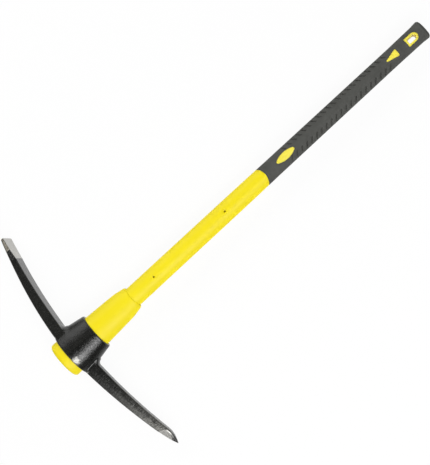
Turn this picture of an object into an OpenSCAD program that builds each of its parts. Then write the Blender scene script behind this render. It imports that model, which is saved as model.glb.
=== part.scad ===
// Pick axe: a forged chisel-and-point head on a moulded handle with a fibreglass core.
// It lies flat as on the ground. X runs along the handle from the knob to the butt,
// +Y is the chisel side, -Y is the point side and Z is up. All sizes are millimetres.

/* [Handle] */
// Length of the handle from the end of the knob to the butt
handle_l = 900; // [760:5:1100]
// Width of the shaft where it leaves the swell
shaft_w = 39.3; // [37:0.1:43]
// Depth of the shaft where it leaves the swell
shaft_d = 31; // [28:0.2:35]
// Width of the shaft where it starts to neck down to the grip
shaft_top_w = 37.8; // [36:0.2:41]
// Diameter of the fibreglass core
core_d = 18; // [12:0.5:20]
// Solid plastic between the core and the hanging eyelet
core_end_cover = 14; // [8:1:30]
// Diameter of the core locating holes in the jacket
pin_hole_d = 2.8; // [2:0.1:4]
// Depth of the core locating holes
pin_hole_depth = 5; // [2:0.5:6]
// Distance from the knob end to the first locating hole
pin_hole_first = 234; // [215:1:260]
// Distance between the two locating holes
pin_hole_step = 178; // [100:1:220]

/* [Swell] */
// Width of the swell at the knob end
swell_w = 72.8; // [69:0.2:76]
// Depth of the swell at the knob end
swell_d = 49; // [46:0.2:53]
// Width of the swell where its shoulder starts
swell_top_w = 55.6; // [52:0.2:58]
// Length of the swell from the knob end to the shaft
swell_l = 179; // [160:0.5:200]
// Length of the shoulder
shoulder_l = 23.5; // [18:0.5:32]
// Length of the rounding on each side of the corner where the shoulder starts
shoulder_bend = 5; // [2:0.5:8]
// Height of the shoulder's rounded end above the shaft
shoulder_end_h = 4.7; // [2:0.1:6]
// Length of the shoulder's rounded end
shoulder_end_l = 6; // [3:0.5:9]
// Step that the rounded end leaves above the shaft
shoulder_lip = 0.3; // [0.2:0.1:1]
// Radius of the rounded edge of the knob
knob_edge_r = 6.5; // [3:0.5:9]
// Plastic that closes the swell below the jacket
swell_floor = 8; // [5:1:16]

/* [Head] */
// Distance that the knob stands out below the head
knob_l = 19; // [14:1:24]
// Length of the eye along the handle
eye_l = 66.5; // [60:0.5:76]
// Gap between the eye and the swell
eye_gap = 0.2; // [0.1:0.05:0.5]
// Wall of the eye towards the arms, at the grip side
eye_wall_top = 5; // [4:0.1:7]
// Wall of the eye towards the arms, on the grip side of the arms
eye_wall_root = 10.6; // [8:0.1:13]
// Wall of the eye towards the arms, at the knob side
eye_wall_bottom = 9.4; // [7:0.1:12]
// Cheek of the eye, at the knob side
cheek_t = 6.5; // [5.5:0.1:9]
// Rounding of the eye's rims
rim_r = 2.5; // [1:0.25:4]
// Fillet where the arms leave the eye
root_fillet_r = 9; // [4:0.5:12]
// Radius of the rounded edges of the arms, at the eye
arm_edge_r = 4; // [1.5:0.25:5]
// Radius of the rounded edges of the arms, where their ground ends start
arm_edge_end_r = 2; // [1:0.25:4]

/* [Chisel arm] */
// Reach of the chisel edge from the handle axis
chisel_reach = 243; // [210:0.5:280]
// Thickness of the arm at the eye
chisel_root_t = 21.6; // [18:0.2:26]
// Thickness of the arm where its ground end starts
chisel_grind_t = 13; // [10:0.2:16]
// Thickness of the chisel edge
chisel_edge_t = 5.8; // [2:0.2:7]
// Length of the ground end
chisel_grind_l = 44; // [25:0.5:60]
// Depth of the arm at the eye
chisel_root_d = 40; // [30:0.5:44]
// Depth of the arm where its ground end starts
chisel_grind_d = 46; // [38:0.5:54]
// Depth of the arm at the chisel edge
chisel_edge_d = 59; // [48:0.5:66]
// Radius of the corners of the chisel edge
chisel_corner_r = 2; // [1:0.5:12]
// Height of the underside above the rim of the eye, where the arm leaves it
chisel_lift = 2.2; // [0.5:0.1:4]
// Rise of the underside from the eye to the chisel edge
chisel_rise = 48.5; // [42:0.5:66]
// Radius of the curve that the underside follows
chisel_sweep_r = 710; // [500:10:1500]

/* [Point arm] */
// Reach of the point from the handle axis
point_reach = 255.5; // [220:0.5:290]
// Thickness of the arm at the eye
point_root_t = 27.2; // [22:0.2:31]
// Thickness of the arm where the sharpened point starts
point_tip_t = 16.6; // [11:0.2:18]
// Length of the sharpened point
point_tip_l = 32; // [20:1:45]
// Depth of the arm across its ridges, at the eye
point_root_d = 24; // [18:0.5:30]
// Depth of the arm across its ridges, where the sharpened point starts
point_tip_d = 19; // [14:0.5:24]
// Height of the ridges above the underside, at the eye
point_ridge_root_h = 15; // [10:0.5:20]
// Height of the ridges above the underside, where the sharpened point starts
point_ridge_tip_h = 9; // [6:0.5:10]
// Distance that each ridge stands out past the edge of the underside
point_ridge_out = 2.5; // [0.5:0.25:4]
// Height of the point's end above the line of the underside
point_tip_h = 2.6; // [1:0.2:8]
// Height of the underside above the rim of the eye, where the arm leaves it
point_lift = 0.8; // [-1.5:0.1:3]
// Rise of the underside from the eye to the point
point_rise = 37.6; // [26:0.2:44]
// Radius of the curve that the underside follows
point_sweep_r = 1130; // [700:10:2500]

/* [Grip] */
// Length of the grip along the edges of the handle
grip_l = 396; // [340:1:450]
// Width of the grip below its neck
grip_w = 36.4; // [33:0.2:40]
// Width of the grip at its waist
waist_w = 34.6; // [33:0.2:38]
// Width of the grip where the butt starts to flare
flare_w = 35.8; // [34:0.2:39]
// Width of the flared butt
butt_w = 37.8; // [36:0.2:42]
// Distance from the butt to the waist
waist_from_butt = 77; // [60:1:110]
// Distance from the butt to where it starts to flare
flare_from_butt = 18; // [12:1:30]
// Thickness of the grip at the edges of the handle
grip_t = 3; // [2:0.1:4]
// Thickness of the grip over the butt
butt_cap_t = 6; // [4:0.5:10]
// Radius of the rounded edge of the butt
butt_edge_r = 5.5; // [2:0.5:7]
// Height of the arch in the lower border of the grip
arch_h = 8; // [4:0.5:14]
// Length of the neck below the border of the grip
neck_below = 40; // [20:1:70]
// Length of the neck above the border of the grip
neck_above = 24; // [15:1:36]
// Gap between moulded layers
mould_gap = 0.05; // [0.02:0.01:0.2]

/* [Grip grooves] */
// Number of grooves along each edge
groove_count = 21; // [8:1:24]
// Distance between grooves along the handle
groove_step = 12; // [9:0.5:14]
// Width of a groove along the handle
groove_w = 3; // [1.5:0.25:5]
// Depth of a groove
groove_depth = 1; // [0.5:0.1:1.5]
// Width of the smooth band between the two rows of grooves
smooth_band_w = 15; // [10:0.5:20]
// Slant of the grooves to the handle, in degrees
groove_slant = 45; // [30:1:60]
// Distance from the butt to the nearest groove, at the smooth band
groove_from_butt = 86; // [80:1:110]

/* [Grip windows] */
// Length of the lens-shaped window
lens_l = 47; // [36:0.5:56]
// Width of the lens-shaped window
lens_w = 16; // [12:0.25:20]
// Distance from the butt to the middle of the lens
lens_from_butt = 338; // [315:1:360]
// Length of the triangular window
arrow_l = 26; // [18:0.5:32]
// Width of the triangular window
arrow_w = 13.4; // [10:0.2:18]
// Distance from the butt to the base of the triangle
arrow_from_butt = 62.5; // [52:0.5:72]
// Length of the hanging eyelet
eyelet_l = 25.5; // [22:0.5:30]
// Width of the hanging eyelet
eyelet_w = 17.6; // [16:0.2:22]
// Distance from the butt to the near end of the eyelet
eyelet_from_butt = 17; // [12:0.5:22]
// Rim of the eyelet round the hanging hole
eyelet_rim = 3.9; // [2.5:0.1:5]
// Depth of the yellow lands below the surface of the grip
land_recess = 0.3; // [0.1:0.05:0.8]
// Gap between the lands and the edges of the windows
window_gap = 0.1; // [0.05:0.05:0.4]

/* [Hidden] */
$fn = 96;

steel_black = [0.16, 0.16, 0.15];
yellow = [0.98, 0.88, 0.1];
core_tan = [0.78, 0.74, 0.62];
grip_black = [0.3, 0.3, 0.29];

// Steps of an arm's ring round each edge and across its grip side
edge_steps = 3;
face_steps = 5;
// Most of a section's half size that its rounded edges may take, and of what is left, its ridge
edge_limit = 0.9;
// Rings of an arm in its fillet, along its shank and at its tip
fillet_steps = 9;
shank_steps = 10;
tip_steps = 6;
// How late the chisel arm thins and deepens
chisel_thinning = 1.4;
chisel_deepening = 2;
// How bluntly the point closes, and how nearly its last ring does
point_blunt = 1.6;
point_last = 0.97;
// Angles of the points round a rounded edge
arc_steps = 6;
quarter = [for (i = [0 : arc_steps]) 90 * i / arc_steps];
// Cutters run this far past what they cut
past = 4;

// The shape of the handle's section: depth for each unit of width
shaft_oval = shaft_d / shaft_w;
swell_oval = swell_d / swell_w;

// Places along the handle
grip_start = handle_l - grip_l;
arch_top = grip_start + arch_h;
neck_start = grip_start - neck_below;
neck_end = grip_start + neck_above;
shoulder_start = swell_l - shoulder_l;
core_end = handle_l - eyelet_from_butt - eyelet_l - core_end_cover;
eye_top = knob_l + eye_l;
butt_flare = handle_l - butt_edge_r;

// The outside of the handle above the swell, as [half width, place] from the knob end
outside_line = [
    [shaft_w / 2, 0],
    [shaft_w / 2, swell_l],
    [shaft_top_w / 2, neck_start],
    [grip_w / 2, neck_end],
    [waist_w / 2, handle_l - waist_from_butt],
    [flare_w / 2, handle_l - flare_from_butt],
    [butt_w / 2, butt_flare]
];

function outside(x) = lookup(x, [for (p = outside_line) [p[1], p[0]]]);

// A stretch of the outside, inset by a wall, closed to the handle axis
function stretch(from, to, inset) = concat(
    [[0, from], [outside(from) - inset, from]],
    [for (p = outside_line) if (p[1] > from && p[1] < to) [p[0] - inset, p[1]]],
    [[outside(to) - inset, to], [0, to]]
);

// The same up to the butt, whose edge is rounded
function stretch_to_butt(from, inset) = concat(
    [[0, from], [outside(from) - inset, from]],
    [for (p = outside_line) if (p[1] > from && p[1] < butt_flare) [p[0] - inset, p[1]]],
    [for (a = quarter) [
        butt_w / 2 - butt_edge_r + butt_edge_r * cos(a) - inset,
        butt_flare + butt_edge_r * sin(a)
    ]],
    [[0, handle_l]]
);

// Half width of the tapered part of the swell
function swell_half(x) = swell_w / 2 + (swell_top_w - swell_w) / 2 * x / shoulder_start;

// Rounds the corner at b between the points a and c
function bend(a, b, c) = [
    for (i = [0 : arc_steps])
        let (t = i / arc_steps)
            a * (1 - t) * (1 - t) + b * 2 * t * (1 - t) + c * t * t
];

// The shoulder slopes from the taper to a rounded end on the shaft
shoulder_foot = shaft_w / 2 + shoulder_lip;
shoulder_end = [shaft_w / 2 + shoulder_end_h, swell_l - shoulder_end_l];
shoulder_top = [swell_half(shoulder_start), shoulder_start];
shoulder_way = (shoulder_end - shoulder_top) / norm(shoulder_end - shoulder_top);
bend_start = shoulder_start - shoulder_bend;
swell_line = concat(
    [[0, 0]],
    [for (a = quarter) [
        swell_half(0) - knob_edge_r + knob_edge_r * sin(a),
        knob_edge_r - knob_edge_r * cos(a)
    ]],
    bend(
        [swell_half(bend_start), bend_start],
        shoulder_top,
        shoulder_top + shoulder_way * shoulder_bend
    ),
    [for (a = quarter) [
        shoulder_foot + (shoulder_end[0] - shoulder_foot) * cos(a),
        shoulder_end[1] + shoulder_end_l * sin(a)
    ]],
    [[0, swell_l]]
);

// Turns a profile of [radius, place] about the handle axis and flattens it to an oval.
// The two halves meet at the edges of the handle, as the halves of its mould do.
module oval_turn(line, oval) {
    for (half = [-90, 90])
        rotate([0, 90, 0])
            scale([oval, 1, 1])
                rotate([0, 0, half])
                    rotate_extrude(angle = 180)
                        polygon(line);
}

// Sets the handle axis at its height over the ground, with the origin under the middle
module placed() {
    translate([-handle_l / 2, (point_reach - chisel_reach) / 2, rest_h])
        children();
}

// The middle of a ring of points
function middle(ring) = [for (p = ring) 1] * ring / len(ring);

// Joins rings of points, all with the same number of points, into one closed skin
module loft(rings) {
    n = len(rings[0]);
    last = len(rings) - 1;
    first_middle = len(rings) * n;
    points = concat([for (ring = rings) each ring], [middle(rings[0]), middle(rings[last])]);
    sides = [
        for (i = [0 : last - 1], j = [0 : n - 1])
            each [
                [i * n + j, i * n + (j + 1) % n, (i + 1) * n + j],
                [i * n + (j + 1) % n, (i + 1) * n + (j + 1) % n, (i + 1) * n + j]
            ]
    ];
    ends = [
        for (j = [0 : n - 1])
            each [
                [first_middle, (j + 1) % n, j],
                [first_middle + 1, last * n + j, last * n + (j + 1) % n]
            ]
    ];
    polyhedron(points, concat(sides, ends));
}

// Half width of the eye's outside at a place along the handle, and the shape of its section
root_place = knob_l + chisel_lift + chisel_root_t;
function hub_half_w(x) = swell_half(x) + eye_gap + lookup(x, [
    [knob_l, eye_wall_bottom],
    [root_place, eye_wall_root],
    [eye_top, eye_wall_top]
]);
root_half = hub_half_w(root_place);
hub_oval = ((swell_half(knob_l) + eye_gap) * swell_oval + cheek_t) / hub_half_w(knob_l);

// The outside of the eye, with both rims rounded
hub_line = concat(
    [[0, knob_l]],
    [for (a = quarter) [
        hub_half_w(knob_l + rim_r) - rim_r * (1 - sin(a)),
        knob_l + rim_r * (1 - cos(a))
    ]],
    [[root_half, root_place]],
    [for (a = quarter) [
        hub_half_w(eye_top - rim_r) - rim_r * (1 - cos(a)),
        eye_top - rim_r * (1 - sin(a))
    ]],
    [[0, eye_top]]
);

// Where the side of the eye lies, by its distance from the plane of the head
fillet_end = root_half + root_fillet_r;
function eye_side(z) = root_half * sqrt(max(0, 1 - pow(z / (root_half * hub_oval), 2)));

// Rise of the fillet at a distance from the side of the eye
function fillet_rise(gap) =
    let (left = min(max(root_fillet_r - gap, 0), root_fillet_r))
        root_fillet_r - sqrt(root_fillet_r * root_fillet_r - left * left);

// Radius of an arm's rounded edges at a share of the way along it
function edge_radius(share) = arm_edge_r + (arm_edge_end_r - arm_edge_r) * share;

// A section of an arm: a rectangle with rounded edges, and the fillet on its grip side.
// Its two sides lean in from a ridge to the underside.
function arm_ring(y, under, thick, depth, edge_r, ridge_h, ridge_out) =
    let (
        r = min(edge_r, edge_limit * thick / 2, edge_limit * depth / 2),
        half_t = thick / 2 - r,
        half_d = depth / 2 - r,
        ridge_limit = edge_limit * half_t,
        ridge_place = max(-ridge_limit, min(ridge_limit, ridge_h - thick / 2)),
        edges = [
            for (corner = [0 : 3])
                let (
                    up = corner % 3 == 0 ? 1 : -1,
                    side = corner < 2 ? 1 : -1,
                    ridge = [[ridge_place, side * depth / 2]],
                    bow = [
                        for (i = [0 : edge_steps])
                            let (a = 90 * (corner + i / edge_steps))
                                [up * half_t, side * half_d] + r * [cos(a), sin(a)]
                    ]
                )
                each corner % 2 == 0 ? concat(bow, ridge) : bow
        ],
        face = [for (i = [1 : face_steps - 1]) [half_t + r, half_d * (2 * i / face_steps - 1)]]
    )
    [
        for (q = concat(edges, face))
            let (
                h = thick / 2 + q[0],
                lean = 1 - max(0, 1 - h / ridge_h) * ridge_out / (depth / 2),
                stretch = 1 + fillet_rise(abs(y) - eye_side(q[1])) / thick
            )
            [under + h * stretch, y, q[1] * lean]
    ];

// The underside of an arm leaves the eye at a slope and then follows a long curve
function underside(y, lift, rise, reach, sweep_r) =
    let (
        run = max(0, y - root_half),
        full = reach - root_half,
        slope = (rise - full * full / (2 * sweep_r)) / full
    )
    knob_l + lift + run * slope + run * run / (2 * sweep_r);

// Distances of an arm's rings from the handle axis: close together in the fillet
function arm_places(root_depth, tip_start) =
    let (start = eye_side(root_depth / 2) - rim_r)
        concat(
            [for (i = [0 : fillet_steps]) start + (fillet_end - start) * i / fillet_steps],
            [for (i = [1 : shank_steps]) fillet_end + (tip_start - fillet_end) * i / shank_steps]
        );

// The chisel arm thins and deepens to its ground end, which thins to an edge with round corners
grind_start = chisel_reach - chisel_grind_l;
corner_start = chisel_reach - chisel_corner_r;
function chisel_share(y) = min(1, max(0, (y - fillet_end) / (grind_start - fillet_end)));
function chisel_thick(y) = y < grind_start
    ? chisel_root_t + (chisel_grind_t - chisel_root_t) * pow(chisel_share(y), chisel_thinning)
    : chisel_grind_t + (chisel_edge_t - chisel_grind_t) * (y - grind_start) / chisel_grind_l;
function corner_cut(y) =
    let (past_start = max(0, y - corner_start))
        chisel_corner_r - sqrt(max(0, chisel_corner_r * chisel_corner_r - past_start * past_start));
function chisel_depth(y) = chisel_root_d
    + (chisel_grind_d - chisel_root_d) * pow(chisel_share(y), chisel_deepening)
    + (chisel_edge_d - chisel_grind_d) * max(0, y - grind_start) / chisel_grind_l
    - 2 * corner_cut(y);
chisel_places = concat(
    arm_places(chisel_root_d, grind_start),
    [for (i = [1 : tip_steps]) grind_start + (corner_start - grind_start) * i / tip_steps],
    [for (i = [1 : tip_steps]) corner_start + chisel_corner_r * sin(90 * i / tip_steps)]
);
// Height of the handle axis when the head lies on its side
rest_h = max(
    hub_half_w(knob_l + rim_r) * hub_oval,
    root_half * hub_oval,
    max([for (y = chisel_places) chisel_depth(y)]) / 2
);
module chisel_arm() {
    loft([for (y = chisel_places) arm_ring(
        y,
        underside(y, chisel_lift, chisel_rise, chisel_reach, chisel_sweep_r),
        chisel_thick(y),
        chisel_depth(y),
        edge_radius(chisel_share(y)),
        chisel_thick(y) / 2,
        0
    )]);
}

// The point arm tapers evenly, and its last stretch closes in a point
tip_start = point_reach - point_tip_l;
function point_share(y) = min(1, max(0, (y - fillet_end) / (tip_start - fillet_end)));
function point_ring(y) =
    let (
        share = point_share(y),
        thick = point_root_t + (point_tip_t - point_root_t) * share,
        depth = point_root_d + (point_tip_d - point_root_d) * share,
        ridge_h = point_ridge_root_h + (point_ridge_tip_h - point_ridge_root_h) * share,
        under = underside(y, point_lift, point_rise, point_reach, point_sweep_r),
        closing = pow(point_last * max(0, y - tip_start) / point_tip_l, point_blunt),
        open = 1 - closing
    )
    arm_ring(
        -y,
        under + point_tip_h * closing,
        thick * open,
        depth * open,
        edge_radius(share),
        ridge_h * open,
        point_ridge_out * open
    );
point_places = concat(
    arm_places(point_root_d, tip_start),
    [for (i = [1 : tip_steps]) tip_start + point_tip_l * i / tip_steps]
);
module point_arm() {
    loft([for (i = [len(point_places) - 1 : -1 : 0]) point_ring(point_places[i])]);
}

// The tapered oval hole that the swell is driven into
module eye() {
    from = knob_l - past;
    to = eye_top + past;
    oval_turn([
        [0, from],
        [swell_half(from) + eye_gap, from],
        [swell_half(to) + eye_gap, to],
        [0, to]
    ], swell_oval);
}

module pick_head() {
    color(steel_black)
        placed()
            difference() {
                union() {
                    oval_turn(hub_line, hub_oval);
                    chisel_arm();
                    point_arm();
                }
                eye();
            }
}

// The oval shaft under the swell, the jacket and the grip
module shaft_blank(from, to, inset) {
    oval_turn(stretch(from, to, inset), shaft_oval);
}

module eye_swell() {
    color(yellow)
        placed()
            difference() {
                oval_turn(swell_line, swell_oval);
                shaft_blank(swell_floor, swell_l + past, -mould_gap);
            }
}

// The round core, grown by a gap
module core_blank(from, gap) {
    translate([from, 0, 0])
        rotate([0, 90, 0])
            cylinder(d = core_d + 2 * gap, h = core_end + gap - from);
}

module fibreglass_core() {
    color(core_tan)
        placed()
            core_blank(swell_floor + mould_gap, 0);
}

// Outlines of the windows, seen from above, grown by a gap
module lens_outline(gap) {
    half_l = lens_l / 2 + gap;
    half_w = lens_w / 2 + gap;
    arc_r = (half_l * half_l + half_w * half_w) / (2 * half_w);
    translate([handle_l - lens_from_butt, 0])
        intersection() {
            translate([0, half_w - arc_r])
                circle(r = arc_r);
            translate([0, arc_r - half_w])
                circle(r = arc_r);
        }
}

module arrow_outline(gap) {
    base = handle_l - arrow_from_butt + gap;
    polygon([
        [base, arrow_w / 2 + gap],
        [base - arrow_l - 2 * gap, gap],
        [base - arrow_l - 2 * gap, -gap],
        [base, -arrow_w / 2 - gap]
    ]);
}

// A letter-box shape with one round end towards the butt
module eyelet_outline(inset) {
    half_w = eyelet_w / 2 - inset;
    round_at = handle_l - eyelet_from_butt - eyelet_w / 2;
    flat_at = handle_l - eyelet_from_butt - eyelet_l + inset;
    union() {
        translate([round_at, 0])
            circle(r = half_w);
        translate([flat_at, -half_w])
            square([round_at - flat_at, 2 * half_w]);
    }
}

// Stands an outline up through the whole depth of the handle
module through() {
    linear_extrude(height = shaft_d + 2 * past, center = true)
        children();
}

module windows(gap) {
    through() lens_outline(gap);
    through() arrow_outline(gap);
    through() eyelet_outline(-gap);
}

// The rounded tongue of the jacket that fills the arch of the grip's border
arch_half = outside(grip_start);
arch_r = (arch_half * arch_half + arch_h * arch_h) / (2 * arch_h);
module arch_tongue(gap) {
    translate([arch_top - arch_r, 0, 0])
        cylinder(r = arch_r + gap, h = shaft_d + 2 * past, center = true);
}

module shaft_jacket() {
    jacket_end = handle_l - butt_cap_t;
    color(yellow)
        placed()
            difference() {
                union() {
                    difference() {
                        shaft_blank(swell_floor + mould_gap, arch_top + past, 0);
                        difference() {
                            translate([arch_top - arch_r, -shaft_w, -shaft_d])
                                cube([arch_r + 2 * past, 2 * shaft_w, 2 * shaft_d]);
                            arch_tongue(0);
                        }
                    }
                    shaft_blank(arch_top - arch_r, jacket_end, grip_t);
                    intersection() {
                        shaft_blank(arch_top + past, jacket_end, land_recess);
                        windows(0);
                    }
                }
                core_blank(swell_floor - past, mould_gap);
                through() eyelet_outline(eyelet_rim);
                for (i = [0, 1], side = [-1, 1])
                    translate([pin_hole_first + i * pin_hole_step, 0, side * shaft_d / 2])
                        cylinder(d = pin_hole_d, h = 2 * pin_hole_depth, center = true);
            }
}

// One groove on the +Y edge: a slanted slot from the smooth band out past the edge
module groove_outline(x) {
    inner = smooth_band_w / 2;
    outer = grip_w / 2 + past;
    back = (outer - inner) / tan(groove_slant);
    polygon([
        [x, inner],
        [x - back, outer],
        [x - back - groove_w, outer],
        [x - groove_w, inner]
    ]);
}

module grooves() {
    first = handle_l - groove_from_butt;
    difference() {
        for (i = [0 : groove_count - 1], side = [0, 1])
            mirror([0, side, 0])
                through() groove_outline(first - i * groove_step);
        shaft_blank(grip_start, handle_l - past, groove_depth);
    }
}

module grip_sleeve() {
    color(grip_black)
        placed()
            difference() {
                oval_turn(stretch_to_butt(grip_start, 0), shaft_oval);
                shaft_blank(grip_start - past, handle_l - butt_cap_t + mould_gap, grip_t - mould_gap);
                arch_tongue(mould_gap);
                windows(window_gap);
                grooves();
            }
}

pick_head();
eye_swell();
shaft_jacket();
fibreglass_core();
grip_sleeve();
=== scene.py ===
"""Looks of the pick axe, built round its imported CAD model, in metres."""

import math

import bmesh
import bpy
import numpy as np
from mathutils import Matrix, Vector, noise


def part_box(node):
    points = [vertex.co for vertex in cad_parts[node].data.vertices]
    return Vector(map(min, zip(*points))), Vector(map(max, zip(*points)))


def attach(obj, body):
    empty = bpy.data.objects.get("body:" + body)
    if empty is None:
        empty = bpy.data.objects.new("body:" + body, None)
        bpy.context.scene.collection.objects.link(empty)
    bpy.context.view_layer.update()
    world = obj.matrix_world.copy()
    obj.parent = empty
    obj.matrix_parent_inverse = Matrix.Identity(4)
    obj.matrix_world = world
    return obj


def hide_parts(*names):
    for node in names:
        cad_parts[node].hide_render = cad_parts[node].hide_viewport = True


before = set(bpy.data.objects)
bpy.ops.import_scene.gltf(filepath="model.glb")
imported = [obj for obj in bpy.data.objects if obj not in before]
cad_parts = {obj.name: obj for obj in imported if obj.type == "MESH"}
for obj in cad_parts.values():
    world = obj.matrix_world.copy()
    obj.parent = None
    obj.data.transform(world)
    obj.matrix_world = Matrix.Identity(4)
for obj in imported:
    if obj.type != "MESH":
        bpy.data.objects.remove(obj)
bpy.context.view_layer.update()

# The handle axis at the knob end, in millimetres
swell_low, swell_high = (np.array(corner) * 1000 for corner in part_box("eye_swell"))
AXIS = (swell_low + swell_high) / 2
AXIS[0] = swell_low[0]

# Sizes of the head in the CAD model, in millimetres from that place
KNOB_L = 19.0
EYE_TOP = 85.5
SWELL_HALF = 36.4
SWELL_TAPER = 0.0553
SWELL_OVAL = 49 / 72.8
EYE_GAP = 0.2
ROOT_HALF = 44.8
CHISEL = {"lift": 2.2, "rise": 48.5, "reach": 243.0, "sweep": 710.0}
CHISEL_THICK = ((45, 120, 199, 243), (21.6, 18.7, 13.0, 5.8))
POINT = {"lift": 0.8, "rise": 37.6, "reach": 255.5, "sweep": 1130.0}
POINT_THICK = ((45, 223.5, 240, 255.5), (27.2, 16.6, 11.2, 1.0))
RIDGE = 0.55

# Sizes of the handle in the CAD model: places along it and half widths of its outside
OUTSIDE = ((0, 179, 464, 528, 823, 882, 894.5), (19.65, 19.65, 18.9, 18.2, 17.3, 17.9, 18.9))
SHAFT_OVAL = 31 / 39.3
LAND_RECESS = 0.3
GROOVE_DEPTH = 1.0
PIN_HOLES = (234.0, 412.0)
PIN_HOLE_R = 1.4
LENS = {"middle": 562.0, "half_l": 23.5, "half_w": 8.0}
ARROW = {"tip": 811.5, "base": 837.5, "half_w": 6.7}

# A place between the border of the grip and its first window
GRIP_START = 520.0

# Forms of the handle that the scene adds
PIN_HOLE_WORN = 0.4
PIN_HOLE_FADE = 3.0
ROUND_LENS = {"half_l": 21.25, "half_w": 7.375, "tip_r": 3.0}
ROUND_ARROW = {"shift": -2.0, "half_w": 7.2, "corner_r": 1.8}
WINDOW_FADE = 6.0
WINDOW_DEPTH = 3.6
GROOVES_MIDDLE = 685.0
GROOVES_HALF = 145.0
GROOVE_END = 15.5
GROOVE_FADE = 2.0
GROOVE_TRACE = 0.06
GROOVE_LEAN = 1.0

# Ground, worn and dented places of the head, and the painted highlights on its sharp edges, on the
# lower rim of the eye and at the foot of the point arm
BORE_SKIN = 0.9
BORE_CLEAR = 0.03
CHISEL_GRIND = 199.0
FLANK_GRIND = 20.0
GRIND_EDGE = 0.6
FACET = {"middle": 229.0, "half_l": 14.0, "top": 0.95}
RIM_GLINT = {"x": 24.0, "y": -17.0, "r": 11.0, "share": 0.42, "patch": 4.0}
FOOT_GLINT = {"y": -46.5, "half_w": 1.6, "top": 27.0, "fade": 6.0}
WORN_LOW = ((50, 100, 130, 160, 185, 210, 234, 240), (0, 0.1, 0.27, 0.5, 0.75, 0.9, 0.8, 0))
WORN_HIGH = ((60, 100, 130, 160, 185, 210, 234, 240), (0, 0.06, 0.12, 0.25, 0.4, 0.6, 0.5, 0))
CHISEL_WORN = 0.04
# How far the sharp edges of the head are lightened, as a painted highlight
EDGE_GLINT = 0.5
CHISEL_DENT = 0.05
POINT_DENT = 0.14
DENT_L = 6.0
FINE_DENT_L = 2.5
DENT_TOP = 0.4

# How finely the pieces are cut: millimetres along the handle, metres for the voxel
JACKET_CUTS = (10, 894)
GRIP_CUTS = (504, 900)
CUT_STEP = 6.0
WINDOW_MARGIN = 4
CHORD_ERROR = 0.25
CREASE = 30
HEAD_VOXEL = 0.00095
HEAD_SOFTENING = 5

# The camera, in millimetres from the handle axis at the knob end
CAMERA_PLACE = np.array([565.95, -243.4, 2387.66])
CAMERA_TURN = (0.015504, 0.12405, -0.740803)
CAMERA_SENSOR = 36
CAMERA_LENS = 101.473
FLOOR_HALF = 14.0


def add(tree, kind, inputs=None, **settings):
    """Adds a node, sets its options and fills or links its inputs."""
    made = tree.nodes.new(kind)
    for key, value in settings.items():
        setattr(made, key, value)
    for key, value in (inputs or {}).items():
        if isinstance(value, bpy.types.NodeSocket):
            tree.links.new(value, made.inputs[key])
        else:
            made.inputs[key].default_value = value
    return made


def attribute(tree, name):
    """A value that the mesh keeps for each vertex."""
    return add(tree, "ShaderNodeAttribute", attribute_name=name).outputs["Fac"]


def ramp(tree, factor, stops):
    """A colour ramp over a factor; stops are (place, grey or colour)."""
    made = add(tree, "ShaderNodeValToRGB", {"Fac": factor})
    points = made.color_ramp.elements
    while len(points) < len(stops):
        points.new(0.5)
    for point, (place, colour) in zip(points, stops):
        point.position = place
        grey = isinstance(colour, float)
        point.color = (colour, colour, colour, 1) if grey else (*colour, 1)
    return made.outputs["Color"]


def grain(tree, place, scale, detail=4.0, rough=0.55):
    """Noise over the object's own coordinates."""
    inputs = {"Vector": place, "Scale": scale, "Detail": detail, "Roughness": rough}
    return add(tree, "ShaderNodeTexNoise", inputs).outputs["Fac"]


def blend(tree, factor, a, b):
    """Mixes two colours."""
    made = add(tree, "ShaderNodeMix", data_type="RGBA", blend_type="MIX")
    for index, value in ((0, factor), (6, a), (7, b)):
        if isinstance(value, bpy.types.NodeSocket):
            tree.links.new(value, made.inputs[index])
        else:
            made.inputs[index].default_value = value if index == 0 else (*value, 1)
    return made.outputs[2]


def maths(tree, operation, a, b):
    """One sum of two values."""
    return add(tree, "ShaderNodeMath", {0: a, 1: b}, operation=operation).outputs[0]


def bumped(tree, height, strength, distance, normal=None):
    """A bump over a height, and over another normal if one is given."""
    made = add(tree, "ShaderNodeBump", {"Height": height, "Strength": strength, "Distance": distance})
    if normal is not None:
        tree.links.new(normal, made.inputs["Normal"])
    return made.outputs["Normal"]


def stretched(tree, place, scale):
    """Coordinates scaled by a different number along each axis."""
    return add(tree, "ShaderNodeMapping", {"Vector": place, "Scale": scale}).outputs[0]


def blend_normal(tree, factor, a, b):
    """Mixes two normals."""
    made = add(tree, "ShaderNodeMix", {0: factor}, data_type="VECTOR")
    tree.links.new(a, made.inputs[4])
    tree.links.new(b, made.inputs[5])
    return made.outputs[1]


def start(name):
    """A new material, its tree, its shader and the object's own coordinates."""
    made = bpy.data.materials.new(name)
    made.use_nodes = True
    tree = made.node_tree
    place = add(tree, "ShaderNodeTexCoord").outputs["Object"]
    return made, tree, tree.nodes["Principled BSDF"], place


def edge_mask(tree, radius, low, high):
    """A mask of the edges, from how far a rounded normal turns from the true one, and that normal."""
    bevel = add(tree, "ShaderNodeBevel", {"Radius": radius}, samples=6)
    flat = add(tree, "ShaderNodeNewGeometry")
    both = {0: bevel.outputs[0], 1: flat.outputs["Normal"]}
    turn = add(tree, "ShaderNodeVectorMath", both, operation="DOT_PRODUCT")
    return ramp(tree, turn.outputs["Value"], [(low, 1.0), (high, 0.0)]), bevel.outputs[0]


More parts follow.
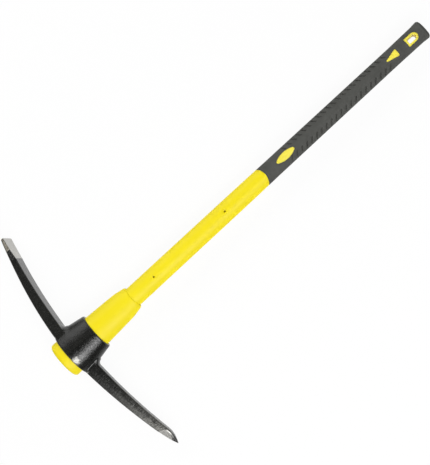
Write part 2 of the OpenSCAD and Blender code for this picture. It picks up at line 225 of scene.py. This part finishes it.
def yellow_plastic():
    """Satin yellow plastic, paler in the windows of the grip as painted sheen, with a painted
    highlight on the edges of the windows, and dark in the pin holes as painted shade.
    """
    made, tree, shader, place = start("yellow_plastic")
    land = attribute(tree, "land")
    hole = attribute(tree, "hole")
    cloud = grain(tree, place, 14.0)
    colour = ramp(tree, cloud, [(0.3, (0.93, 0.765, 0.002)), (0.7, (0.95, 0.79, 0.004))])
    # Painted sheen: the windows of the grip get a paler, less saturated yellow
    pale = ramp(tree, cloud, [(0.3, (0.955, 0.82, 0.07)), (0.7, (0.965, 0.84, 0.09))])
    colour = blend(tree, land, colour, pale)
    scuff = ramp(tree, grain(tree, place, 220.0, 8.0, 0.7), [(0.62, 0.0), (0.8, 0.25)])
    edge, round_normal = edge_mask(tree, 0.0009, 0.9, 0.99)
    # Scuffed edges are paler from wear, and the edges of the windows get the same pale colour as a
    # painted highlight
    rubbed_and_edge_glint = maths(tree, "MULTIPLY", edge, maths(tree, "MAXIMUM", scuff, land))
    colour = blend(tree, rubbed_and_edge_glint, colour, (0.97, 0.88, 0.3))
    # Painted shade darkens the pin holes
    colour = blend(tree, hole, colour, (0.3, 0.22, 0.0))
    rough = ramp(tree, grain(tree, place, 60.0), [(0.3, 0.46), (0.7, 0.56)])
    skin = bumped(tree, grain(tree, place, 900.0, 3.0), 0.06, 0.0003, round_normal)
    shader.inputs["Specular IOR Level"].default_value = 0.3
    tree.links.new(colour, shader.inputs["Base Color"])
    tree.links.new(rough, shader.inputs["Roughness"])
    tree.links.new(skin, shader.inputs["Normal"])
    return made


def grip_rubber():
    """Dark matte rubber, dusty on its edges and darker in its grooves from painted shade."""
    made, tree, shader, place = start("grip_rubber")
    cloud = grain(tree, place, 40.0, 6.0)
    colour = ramp(tree, cloud, [(0.25, (0.062, 0.063, 0.057)), (0.75, (0.083, 0.084, 0.077))])
    edge, round_normal = edge_mask(tree, 0.0006, 0.86, 0.99)
    dust = ramp(tree, grain(tree, place, 300.0, 6.0, 0.7), [(0.4, 0.0), (0.75, 0.5)])
    colour = blend(tree, maths(tree, "MULTIPLY", edge, dust), colour, (0.17, 0.17, 0.162))
    # Painted shade darkens the floors of the grooves
    colour = blend(tree, attribute(tree, "groove"), colour, (0.05, 0.05, 0.045))
    rough = ramp(tree, grain(tree, place, 120.0), [(0.3, 0.66), (0.7, 0.82)])
    skin = bumped(tree, grain(tree, place, 1400.0, 3.0), 0.2, 0.0002, round_normal)
    shader.inputs["Specular IOR Level"].default_value = 0.35
    tree.links.new(colour, shader.inputs["Base Color"])
    tree.links.new(rough, shader.inputs["Roughness"])
    tree.links.new(skin, shader.inputs["Normal"])
    return made


def fibreglass():
    """A rod of long straight strands."""
    made, tree, shader, place = start("fibreglass")
    strands = grain(tree, stretched(tree, place, (12.0, 900.0, 900.0)), 1.0, 3.0)
    colour = ramp(tree, strands, [(0.3, (0.5, 0.45, 0.32)), (0.7, (0.66, 0.61, 0.47))])
    rough = ramp(tree, strands, [(0.3, 0.42), (0.7, 0.6)])
    tree.links.new(colour, shader.inputs["Base Color"])
    tree.links.new(rough, shader.inputs["Roughness"])
    tree.links.new(bumped(tree, strands, 0.15, 0.0003), shader.inputs["Normal"])
    return made


def forged_steel():
    """Black paint on a forged head, gone through wear in places, with bare ends made by grinding, and
    with painted highlights drawn as bare metal on its sharp edges, on the lower rim of the eye and at
    the foot of the point arm.
    """
    made, tree, shader, place = start("forged_steel")
    ground = attribute(tree, "ground")
    stain = attribute(tree, "stain")
    wear_and_edge_glint = attribute(tree, "wear_and_edge_glint")
    turned = attribute(tree, "turned")
    cloud = grain(tree, place, 55.0, 6.0, 0.6)
    speck = grain(tree, place, 330.0, 4.0, 0.6)
    hammer = grain(tree, stretched(tree, place, (160.0, 520.0, 160.0)), 1.0, 3.0)

    # Black paint, rubbed through to dull metal where it is worn, and lightened to the same dull metal
    # as a painted highlight on sharp edges
    paint = ramp(tree, cloud, [(0.3, (0.0045, 0.0047, 0.004)), (0.7, (0.008, 0.0084, 0.0071))])
    dull = ramp(tree, cloud, [(0.25, (0.15, 0.147, 0.135)), (0.75, (0.24, 0.236, 0.218))])
    specks = ramp(tree, speck, [(0.35, 0.0), (0.65, 0.7)])
    blows = ramp(tree, hammer, [(0.35, 0.15), (0.65, 0.95)])
    rubbed_and_edge_glint = maths(tree, "MULTIPLY", wear_and_edge_glint, maths(tree, "ADD", specks, blows))
    colour = blend(tree, rubbed_and_edge_glint, paint, dull)

    # Ground steel: bright on the grip side and stained on the flanks; the same bright steel is a
    # painted highlight on the lower rim of the eye and at the foot of the point arm
    bright = ramp(tree, cloud, [(0.3, (0.47, 0.462, 0.435)), (0.7, (0.56, 0.55, 0.525))])
    brown = ramp(tree, speck, [(0.3, (0.21, 0.19, 0.155)), (0.7, (0.36, 0.335, 0.285))])
    colour = blend(tree, ground, colour, blend(tree, stain, bright, brown))
    metal = maths(tree, "MAXIMUM", ground, maths(tree, "MULTIPLY", rubbed_and_edge_glint, 0.5))

    # The eye was turned, the arms were hammered and the ends were ground
    rings = grain(tree, stretched(tree, place, (700.0, 420.0, 420.0)), 1.0, 3.0)
    scratch = grain(tree, stretched(tree, place, (2600.0, 60.0, 60.0)), 1.0, 4.0)
    forged_rough = ramp(tree, speck, [(0.3, 0.2), (0.7, 0.3)])
    turned_rough = ramp(tree, rings, [(0.38, 0.12), (0.62, 0.3)])
    ground_rough = ramp(tree, scratch, [(0.3, 0.36), (0.7, 0.5)])
    rough = blend(tree, ground, blend(tree, turned, forged_rough, turned_rough), ground_rough)
    forged = bumped(tree, hammer, 0.35, 0.0012, bumped(tree, speck, 0.2, 0.0005))
    lathe = bumped(tree, rings, 0.5, 0.0009)
    smooth = bumped(tree, scratch, 0.08, 0.0002)
    skin = blend_normal(tree, ground, blend_normal(tree, turned, forged, lathe), smooth)

    shader.inputs["Specular IOR Level"].default_value = 0.5
    tree.links.new(colour, shader.inputs["Base Color"])
    tree.links.new(metal, shader.inputs["Metallic"])
    tree.links.new(rough, shader.inputs["Roughness"])
    tree.links.new(skin, shader.inputs["Normal"])
    return made


def step(value, low, high):
    """A soft step from 0 at low to 1 at high."""
    share = np.clip((value - low) / (high - low), 0, 1)
    return share * share * (3 - 2 * share)


def root(value):
    """The square root, or 0 of a negative number."""
    return np.sqrt(np.maximum(value, 0))


def shown_object(name, data):
    """A new object in the scene."""
    made = bpy.data.objects.new(name, data)
    bpy.context.scene.collection.objects.link(made)
    return made


def read(mesh, what, size=3):
    """A list of vertex values as an array."""
    values = np.empty(len(mesh.vertices) * size)
    mesh.vertices.foreach_get(what, values)
    return values.reshape(-1, size)


def from_axis(mesh):
    """The vertices in millimetres from the handle axis at the knob end."""
    return read(mesh, "co") * 1000 - AXIS


def put_back(mesh, points):
    """Moves the vertices to points that are given in those millimetres."""
    mesh.vertices.foreach_set("co", ((points + AXIS) / 1000).ravel())
    mesh.update()


def store(mesh, name, values):
    """Keeps one value for each vertex under a name that materials can read."""
    mesh.attributes.new(name, "FLOAT", "POINT").data.foreach_set("value", values.astype(np.float32))


def around(mesh, values):
    """The mean of each vertex's neighbours."""
    ends = np.empty(len(mesh.edges) * 2, dtype=np.int64)
    mesh.edges.foreach_get("vertices", ends)
    a, b = ends[0::2], ends[1::2]
    total = np.zeros_like(values)
    np.add.at(total, a, values[b])
    np.add.at(total, b, values[a])
    count = np.bincount(ends, minlength=len(values)).astype(float)
    return total / count.reshape((-1,) + (1,) * (values.ndim - 1))


def cut_places(first, last):
    """Places along the handle to cut at: far apart, and close together at the windows."""
    half_l = LENS["half_l"] + WINDOW_MARGIN
    lens = LENS["middle"] + np.arange(-half_l, half_l + 1)
    arrow = np.arange(ARROW["tip"] - WINDOW_MARGIN, ARROW["base"] + WINDOW_MARGIN + 1)
    return np.concatenate([np.arange(first, last, CUT_STEP), lens, arrow])


def sliced_copy(node, name, places):
    """A copy of a CAD node whose long faces are cut across, so that light runs smoothly over it."""
    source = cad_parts[node]
    work = bmesh.new()
    work.from_mesh(source.data)
    work.transform(source.matrix_world)
    bmesh.ops.remove_doubles(work, verts=work.verts, dist=0.000005)
    along = (1, 0, 0)
    for place in (places + AXIS[0]) / 1000:
        everything = [*work.verts, *work.edges, *work.faces]
        bmesh.ops.bisect_plane(
            work, geom=everything, plane_co=(place, 0, 0), plane_no=along, dist=0.00001
        )
    bmesh.ops.triangulate(work, faces=work.faces)
    mesh = bpy.data.meshes.new(name)
    work.to_mesh(mesh)
    work.free()
    mesh.shade_smooth()
    return shown_object(name, mesh)


def dense_copy(node, name, voxel, rounds):
    """A copy of a CAD node in small even faces, with its corners softened."""
    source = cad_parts[node]
    mesh = source.data.copy()
    mesh.transform(source.matrix_world)
    made = shown_object(name, mesh)
    weld = made.modifiers.new("weld", "WELD")
    weld.merge_threshold = 0.00001
    remesh = made.modifiers.new("remesh", "REMESH")
    remesh.mode = "VOXEL"
    remesh.voxel_size = voxel
    soften = made.modifiers.new("soften", "SMOOTH")
    soften.factor = 0.5
    soften.iterations = rounds
    graph = bpy.context.evaluated_depsgraph_get()
    done = bpy.data.meshes.new_from_object(made.evaluated_get(graph))
    made.modifiers.clear()
    made.data = done
    done.materials.clear()
    done.shade_smooth()
    return made


def depth_under(points):
    """How far each point lies under the outside of the shaft and grip."""
    x, y, z = points.T
    return np.interp(x, *OUTSIDE) - np.hypot(y, z / SHAFT_OVAL)


def set_depth(points, chosen, depth):
    """Moves the chosen points in or out to a depth under the outside."""
    half = np.interp(points[:, 0], *OUTSIDE)
    now = half - depth_under(points)
    share = np.where(chosen, (half - depth) / np.maximum(now, 1), 1)
    points[:, 1] *= share
    points[:, 2] *= share


def seat(points, inset, where):
    """Moves the points near a layer under the outside onto it, because cut edges are straight."""
    near = np.abs(depth_under(points) - inset) < CHORD_ERROR
    set_depth(points, near & where, inset)


def faces_out(mesh, points):
    """Which points lie on outward faces, and not on a wall."""
    ray = points * (0, 1, 1 / SHAFT_OVAL ** 2)
    ray /= np.maximum(np.linalg.norm(ray, axis=1), 1)[:, None]
    return np.einsum("ij,ij->i", read(mesh, "normal"), ray) > 0.4


def lens_half(x):
    """Half width of the pointed lens at a place along the handle."""
    bow_r = (LENS["half_l"] ** 2 + LENS["half_w"] ** 2) / (2 * LENS["half_w"])
    return np.maximum(root(bow_r ** 2 - (x - LENS["middle"]) ** 2) - bow_r + LENS["half_w"], 0)


def round_lens_half(x):
    """Half width of the lens with round tips."""
    run = np.abs(x - LENS["middle"])
    half_w, tip_r = ROUND_LENS["half_w"], ROUND_LENS["tip_r"]
    tip = ROUND_LENS["half_l"] - tip_r
    bow_r = (tip ** 2 + half_w ** 2 - tip_r ** 2) / (2 * (half_w - tip_r))
    meet = tip * bow_r / (bow_r - tip_r)
    bow = root(bow_r ** 2 - run ** 2) - bow_r + half_w
    return np.where(run < meet, bow, root(tip_r ** 2 - (run - tip) ** 2))


def shorter_lens(x):
    """Where a place on the pointed lens lies on the round one."""
    return LENS["middle"] + (x - LENS["middle"]) * (ROUND_LENS["half_l"] / LENS["half_l"])


def arrow_half(x):
    """Half width of the pointed triangle at a place along the handle."""
    return ARROW["half_w"] * np.clip((x - ARROW["tip"]) / (ARROW["base"] - ARROW["tip"]), 0, 1)


def round_arrow_half(x):
    """Half width of the triangle with round corners."""
    corner = ROUND_ARROW["corner_r"]
    tip = ARROW["tip"] + ROUND_ARROW["shift"] + corner
    base = ARROW["base"] + ROUND_ARROW["shift"] - corner
    slope = (ROUND_ARROW["half_w"] - corner) / (base - tip)
    lean = corner * math.sin(math.atan(slope))
    side = corner / math.cos(math.atan(slope)) + (x - tip) * slope
    at_tip = root(corner ** 2 - (x - tip) ** 2)
    at_base = ROUND_ARROW["half_w"] - corner + root(corner ** 2 - (x - base) ** 2)
    return np.where(x < tip - lean, at_tip, np.where(x > base - lean, at_base, side))


def shifted_arrow(x):
    """Where a place on the pointed triangle lies on the round one."""
    return x + ROUND_ARROW["shift"]


def reshape_window(points, ends, half, moved, new_half):
    """Moves the edges of a window to a new outline, and what is round it less and less."""
    depth = depth_under(points)
    x, y, z = points.T.copy()
    edge = np.clip(x, *ends)
    old, new = half(edge), new_half(moved(edge))
    gap = np.hypot(x - edge, np.maximum(np.abs(y) - old, 0))
    fade = np.where(depth < WINDOW_DEPTH, step(WINDOW_FADE - gap, 0, WINDOW_FADE), 0)
    wide = np.abs(y) * new / np.maximum(old, 0.001)
    aim = np.where(np.abs(y) < old, wide, np.abs(y) + new - old)
    points[:, 0] = x + (moved(edge) - edge) * fade
    points[:, 1] = y + np.sign(y) * (aim - np.abs(y)) * fade
    half_w = np.interp(points[:, 0], *OUTSIDE) - depth
    level = np.sign(z) * SHAFT_OVAL * root(half_w ** 2 - points[:, 1] ** 2)
    points[:, 2] = np.where(fade > 0, level, z)


def round_windows(points):
    """Rounds the tips of the lens and the corners of the triangle."""
    lens_ends = (LENS["middle"] - LENS["half_l"], LENS["middle"] + LENS["half_l"])
    arrow_ends = (ARROW["tip"], ARROW["base"])
    reshape_window(points, lens_ends, lens_half, shorter_lens, round_lens_half)
    reshape_window(points, arrow_ends, arrow_half, shifted_arrow, round_arrow_half)


def widen_pin_holes(points):
    """Widens the mouths of the pin holes, and says how deep in a hole each point lies, for the
    painted shade in the holes.
    """
    x, y = points.T[:2]
    hole = np.zeros(len(points))
    for place in PIN_HOLES:
        gap = np.maximum(np.hypot(x - place, y), 0.1)
        inside = gap < PIN_HOLE_R + 0.2
        hole = np.maximum(hole, inside * step(depth_under(points), 0.1, 1.5))
        fade = step(PIN_HOLE_R + PIN_HOLE_FADE - gap, 0, PIN_HOLE_FADE)
        spread = 1 + PIN_HOLE_WORN * fade / gap
        points[:, 0] = place + (x - place) * spread
        points[:, 1] = y * spread
    return hole


def moulded_jacket():
    """The jacket with smooth faces, round windows, and pin holes with mouths widened by wear and
    marked for painted shade.
    """
    jacket = sliced_copy("shaft_jacket", "moulded_jacket", cut_places(*JACKET_CUTS))
    mesh = jacket.data
    points = from_axis(mesh)
    round_windows(points)
    seat(points, 0, points[:, 0] < GRIP_START)
    seat(points, LAND_RECESS, points[:, 0] > GRIP_START)
    store(mesh, "hole", widen_pin_holes(points))
    seat(points, 0, points[:, 0] < GRIP_START)
    store(mesh, "land", (points[:, 0] > GRIP_START).astype(float))
    put_back(mesh, points)
    mesh.set_sharp_from_angle(angle=math.radians(CREASE))
    return jacket


def run_out_grooves(points, out):
    """Makes the grooves run out before the edges of the handle."""
    depth = depth_under(points)
    was = np.abs(points[:, 1])
    grooved = np.abs(points[:, 0] - GROOVES_MIDDLE) < GROOVES_HALF
    cut = grooved & (depth > 0.01) & (depth < GROOVE_DEPTH + 0.3)
    left = np.maximum(step(GROOVE_END - was, 0, GROOVE_FADE), GROOVE_TRACE)
    set_depth(points, cut & (left < 1), depth * left)

    # The floors move along the grooves, so that no wall folds over
    points[:, 0] -= (np.abs(points[:, 1]) - was) * GROOVE_LEAN
    seat(points, 0, out & ~cut)


def moulded_grip():
    """The grip with smooth faces, round windows and grooves that run out."""
    grip = sliced_copy("grip_sleeve", "moulded_grip", cut_places(*GRIP_CUTS))
    mesh = grip.data
    points = from_axis(mesh)
    out = faces_out(mesh, points)
    round_windows(points)
    seat(points, 0, out)
    seat(points, GROOVE_DEPTH, out)
    run_out_grooves(points, out)
    depth = depth_under(points)
    # The floors of the grooves, which get painted shade
    floor = step(depth, 0.3, GROOVE_DEPTH) * step(GROOVE_DEPTH + 0.4 - depth, 0.0, 0.2)
    store(mesh, "groove", floor)
    put_back(mesh, points)
    mesh.set_sharp_from_angle(angle=math.radians(CREASE))
    return grip


def underside(y, arm):
    """Place along the handle of an arm's underside at a distance from the axis."""
    run = np.maximum(0, y - ROOT_HALF)
    full = arm["reach"] - ROOT_HALF
    slope = (arm["rise"] - full * full / (2 * arm["sweep"])) / full
    return KNOB_L + arm["lift"] + run * slope + run * run / (2 * arm["sweep"])


def clear_bore(points):
    """Keeps the bore clear of the swell that fills it, and says which points are in it."""
    x, y, z = points.T
    half = SWELL_HALF - SWELL_TAPER * x + EYE_GAP
    round_y = np.hypot(y, z / SWELL_OVAL)
    bore = (round_y < half + BORE_SKIN) & (x > KNOB_L - 1) & (x < EYE_TOP + 1)
    widen = np.where(bore, (half + BORE_CLEAR) / np.maximum(round_y, 1), 1)
    points[:, 1] *= widen
    points[:, 2] *= widen
    return bore


def arm_height(x, y):
    """Height on an arm, 0 on its underside and 1 on its grip side."""
    reach = np.abs(y)
    chisel = y > 0
    under = np.where(chisel, underside(reach, CHISEL), underside(reach, POINT))
    thick = np.where(chisel, np.interp(reach, *CHISEL_THICK), np.interp(reach, *POINT_THICK))
    return np.clip((x - under) / thick, 0, 1)


def ground_flat(points, mask):
    """Lowers the points inside a mask to the plane through the mask's border."""
    border = (mask > 0.2) & (mask < 0.8)
    x, y, z = points.T
    terms = np.stack([np.ones_like(x), x, y], 1)
    plane = terms @ np.linalg.lstsq(terms[border], z[border], rcond=None)[0]
    return np.where(mask > 0.2, np.minimum(z, plane), z)


def point_facets(points, height):
    """Grinds a facet on each flank of the point, and gives their mask."""
    x, y, z = points.T
    run = (-y - FACET["middle"]) / FACET["half_l"]
    top = FACET["top"] * np.sqrt(np.clip(1 - run ** 2, 0, 1))
    facet = step(top - height, 0.0, 0.1) * step(1 - run ** 2, 0.0, 0.1) * step(np.abs(z), 1.0, 2.0)
    facet = np.where(y > 0, 0, facet)
    for side in (-1, 1):
        points[:, 2] = side * ground_flat(points * (1, 1, side), facet * (side * z > 0))
    return facet


def painted_glints(points):
    """Painted highlights drawn as bare steel: a spot on the lower rim of the eye and a line at the
    foot of the point arm.
    """
    x, y, z = points.T
    patches = np.array([noise.noise(Vector(p / RIM_GLINT["patch"])) for p in points])
    gap = np.hypot((x - RIM_GLINT["x"]) / RIM_GLINT["r"], (y - RIM_GLINT["y"]) / RIM_GLINT["r"])
    spot = step(1 - gap + 0.3 * patches, 0.1, 0.6)
    beside = step(1 - np.abs(y - FOOT_GLINT["y"]) / FOOT_GLINT["half_w"], 0.0, 0.5)
    foot = beside * step(FOOT_GLINT["top"] - x, 0, FOOT_GLINT["fade"])
    return np.maximum(RIM_GLINT["share"] * spot, foot)


def arm_wear(y, height):
    """Wear of the point arm towards its tip, more below its ridges than above them."""
    low_side = step(RIDGE + 0.06 - height, 0.0, 0.12)
    wear_and_edge_glint = np.interp(-y, *WORN_LOW) * low_side + np.interp(-y, *WORN_HIGH) * (1 - low_side)
    return np.where(y > 0, CHISEL_WORN, wear_and_edge_glint)


def forge_dents(points):
    """Depth of the forge's dents, as a share of the deepest, and never outward."""
    dents = np.array([
        noise.noise(Vector(p / DENT_L)) + 0.5 * noise.noise(Vector(p / FINE_DENT_L)) for p in points
    ])
    return np.minimum(dents, DENT_TOP) - DENT_TOP


def forged_head():
    """The head with soft corners, places bared by grinding and dents, and masks for its finish, some
    of which also carry painted highlights.
    """
    head = dense_copy("pick_head", "forged_head", HEAD_VOXEL, HEAD_SOFTENING)
    mesh = head.data
    points = from_axis(mesh)
    normals = read(mesh, "normal")
    x, y, z = points.T
    solid = ~clear_bore(points)
    reach = np.abs(y)
    chisel = y > 0
    height = arm_height(x, y)

    # The end of the chisel is ground further on its grip side than on its flanks
    flank = step(np.abs(normals[:, 2]), 0.5, 0.8)
    chisel_ground = step(y - CHISEL_GRIND - FLANK_GRIND * flank, -GRIND_EDGE, GRIND_EDGE)
    facet = point_facets(points, height)
    # The ground mask also carries painted highlights as bare steel on the lower rim of the eye and at
    # the foot of the point arm
    ground = np.maximum(np.where(chisel, chisel_ground, facet), painted_glints(points) * solid)

    # Dents are deepest on the point arm
    rough = np.where(chisel, CHISEL_DENT, POINT_DENT) * step(reach, 40, 60) * (1 - ground)
    wear_and_edge_glint = arm_wear(y, height)
    points += normals * (rough * forge_dents(points) * solid)[:, None]

    bulge = np.einsum("ij,ij->i", normals, points - around(mesh, points))
    sharp = step(around(mesh, bulge), 0.03, 0.11) * solid
    store(mesh, "ground", ground)
    store(mesh, "stain", np.where(chisel, flank, 0))
    # Sharp edges get a painted highlight of dull metal, carried in the same mask as the wear of the
    # point arm
    store(mesh, "wear_and_edge_glint", np.maximum(wear_and_edge_glint, EDGE_GLINT * sharp))
    store(mesh, "turned", 1 - step(reach, 38, 46))
    put_back(mesh, points)
    return head


def finish_piece(piece, node, material):
    """A new piece that stands for a CAD node."""
    piece.data.materials.append(material)
    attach(piece, "root")
    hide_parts(node)


def paint_node(node, material):
    """Puts a finish on a CAD node."""
    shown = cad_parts[node]
    for slot in shown.material_slots:
        slot.material = material


def floor_material():
    """A pale floor that keeps the shadow and looks white to the camera and to reflections."""
    made = bpy.data.materials.new("floor")
    made.use_nodes = True
    tree = made.node_tree
    tree.nodes.clear()
    diffuse = add(tree, "ShaderNodeBsdfDiffuse", {"Color": (0.95, 0.95, 0.95, 1)})
    white = add(tree, "ShaderNodeEmission", {"Color": (1, 1, 1, 1), "Strength": 1.0})
    rays = add(tree, "ShaderNodeLightPath")
    seen = maths(tree, "MAXIMUM", rays.outputs["Is Glossy Ray"], rays.outputs["Is Transmission Ray"])
    seen = maths(tree, "MAXIMUM", seen, maths(tree, "MULTIPLY", rays.outputs["Is Camera Ray"], 0.94))
    both = add(tree, "ShaderNodeMixShader", {0: seen, 1: diffuse.outputs[0], 2: white.outputs[0]})
    add(tree, "ShaderNodeOutputMaterial", {"Surface": both.outputs[0]})
    return made


def build_stage():
    """The floor under the tool."""
    mesh = bpy.data.meshes.new("floor")
    side = FLOOR_HALF
    corners = [(-side, -side, 0), (side, -side, 0), (side, side, 0), (-side, side, 0)]
    mesh.from_pydata(corners, [], [(0, 1, 2, 3)])
    floor = shown_object("floor", mesh)
    mesh.materials.append(floor_material())


def soft_light(name, place, target, size, power, diffuse=True, glossy=True):
    """A soft rectangular light that faces a target, or a card that only reflections show."""
    lamp = bpy.data.lights.new(name, "AREA")
    lamp.shape = "RECTANGLE"
    lamp.size, lamp.size_y = size
    lamp.energy = power
    shown = shown_object(name, lamp)
    shown.location = place
    shown.rotation_euler = (Vector(target) - Vector(place)).to_track_quat("-Z", "Y").to_euler()
    shown.visible_diffuse = diffuse
    shown.visible_glossy = glossy


def build_light():
    """A dim white world, a key light, two fills and three cards for the reflections."""
    world = bpy.data.worlds.new("studio")
    world.use_nodes = True
    back = world.node_tree.nodes["Background"]
    back.inputs["Color"].default_value = (1, 1, 1, 1)
    back.inputs["Strength"].default_value = 0.1
    bpy.context.scene.world = world
    middle = (-0.1, 0, 0)
    soft_light("key", (-0.3, -1.31, 2.25), (-0.3, 0, 0), (2.6, 1.0), 45)
    soft_light("left_fill", (-0.1, 2.18, 1.42), middle, (2.6, 1.6), 45, glossy=False)
    soft_light("right_fill", (-0.1, -2.18, 1.42), middle, (2.6, 1.6), 18, glossy=False)
    soft_light("left_card", (-0.1, 2.14, 1.39), middle, (2.6, 2.0), 24, diffuse=False)
    soft_light("streak_card", (-1.1, -1.29, 2.2), (-0.9, 0, 0), (1.4, 0.7), 19, diffuse=False)
    soft_light("knob_card", (-1.95, -1.0, 1.5), (-0.4, -0.15, 0), (1.6, 1.4), 14, diffuse=False)


def build_camera():
    """The camera of the main view."""
    data = bpy.data.cameras.new("camera")
    data.sensor_width = CAMERA_SENSOR
    data.lens = CAMERA_LENS
    camera = shown_object("camera", data)
    camera.location = (AXIS + CAMERA_PLACE) / 1000
    camera.rotation_euler = CAMERA_TURN
    bpy.context.scene.camera = camera


yellow = yellow_plastic()
paint_node("eye_swell", yellow)
finish_piece(moulded_jacket(), "shaft_jacket", yellow)
finish_piece(moulded_grip(), "grip_sleeve", grip_rubber())
finish_piece(forged_head(), "pick_head", forged_steel())
paint_node("fibreglass_core", fibreglass())
build_stage()
build_light()
build_camera()
bpy.context.scene.view_settings.view_transform = "Standard"
